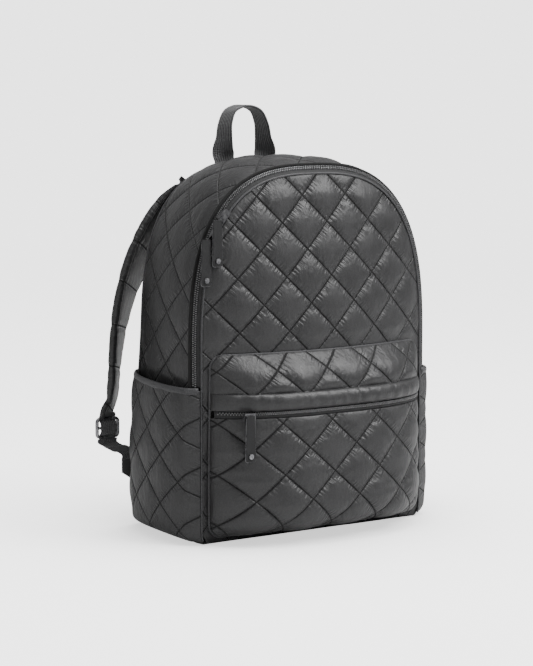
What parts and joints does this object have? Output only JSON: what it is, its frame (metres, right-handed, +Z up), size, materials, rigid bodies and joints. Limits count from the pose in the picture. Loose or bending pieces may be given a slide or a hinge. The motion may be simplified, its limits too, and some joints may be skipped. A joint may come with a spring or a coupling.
{
  "type": "backpack",
  "caption": "Quilted puffer backpack with an arched double zipper, front and side pockets, haul handle and padded shoulder straps.",
  "frame": {"origin": "on the ground under the middle of the flat base", "axes": "+X to the right seen from the front, the front faces -Y, +Z up"},
  "size_m": [0.3752, 0.2621, 0.4746],
  "materials": {
    "quilted_nylon": "padded charcoal nylon with a soft sheen",
    "edge_binding": "folded nylon binding",
    "zipper_tape": "plain woven tape",
    "webbing": "ribbed woven webbing",
    "zipper_teeth": "moulded teeth, satin",
    "dark_metal": "gunmetal, satin",
    "rubber_pull": "soft matt strip with raised edges",
    "buckle_metal": "gunmetal, polished edges"
  },
  "bodies": {
    "bag": {"gusset_panel": "quilted_nylon", "base_panel": "quilted_nylon", "front_panel": "quilted_nylon", "back_panel": "quilted_nylon", "main_zipper_tape": "zipper_tape", "main_zipper_teeth": "zipper_teeth", "front_pocket_hood": "quilted_nylon", "front_pocket_face": "quilted_nylon", "front_pocket_zipper_tape": "zipper_tape", "front_pocket_zipper_teeth": "zipper_teeth", "side_pocket_left": "quilted_nylon", "side_pocket_right": "quilted_nylon", "side_pocket_binding_left": "edge_binding", "side_pocket_binding_right": "edge_binding", "main_slider_upper": "dark_metal", "main_slider_lower": "dark_metal", "pocket_slider": "dark_metal", "haul_handle": "webbing", "shoulder_strap_left": "quilted_nylon", "shoulder_strap_right": "quilted_nylon", "strap_webbing_left": "webbing", "strap_webbing_right": "webbing", "strap_buckle_left": "buckle_metal", "strap_buckle_right": "buckle_metal", "strap_keeper_left": "webbing", "strap_keeper_right": "webbing", "strap_anchor_left": "webbing", "strap_anchor_right": "webbing"},
    "main_pull_upper": {"main_pull_upper": "rubber_pull", "main_pull_upper_rivet": "dark_metal"},
    "main_pull_lower": {"main_pull_lower": "rubber_pull", "main_pull_lower_rivet": "dark_metal"},
    "pocket_pull": {"pocket_pull": "rubber_pull", "pocket_pull_rivet": "dark_metal"}
  },
  "joints": [
    {"name": "main_pull_upper_swing", "type": "hinge", "parent": "bag", "child": "main_pull_upper", "pos_m": [-0.1325, -0.059, 0.3545], "axis": [-1, 0, 0], "range_deg": [0, 90]},
    {"name": "main_pull_lower_swing", "type": "hinge", "parent": "bag", "child": "main_pull_lower", "pos_m": [-0.1455, -0.0567, 0.3339], "axis": [-1, 0, 0], "range_deg": [0, 90]},
    {"name": "pocket_pull_swing", "type": "hinge", "parent": "bag", "child": "pocket_pull", "pos_m": [-0.114, -0.0955, 0.1455], "axis": [-1, 0, 0], "range_deg": [0, 90]}
  ]
}
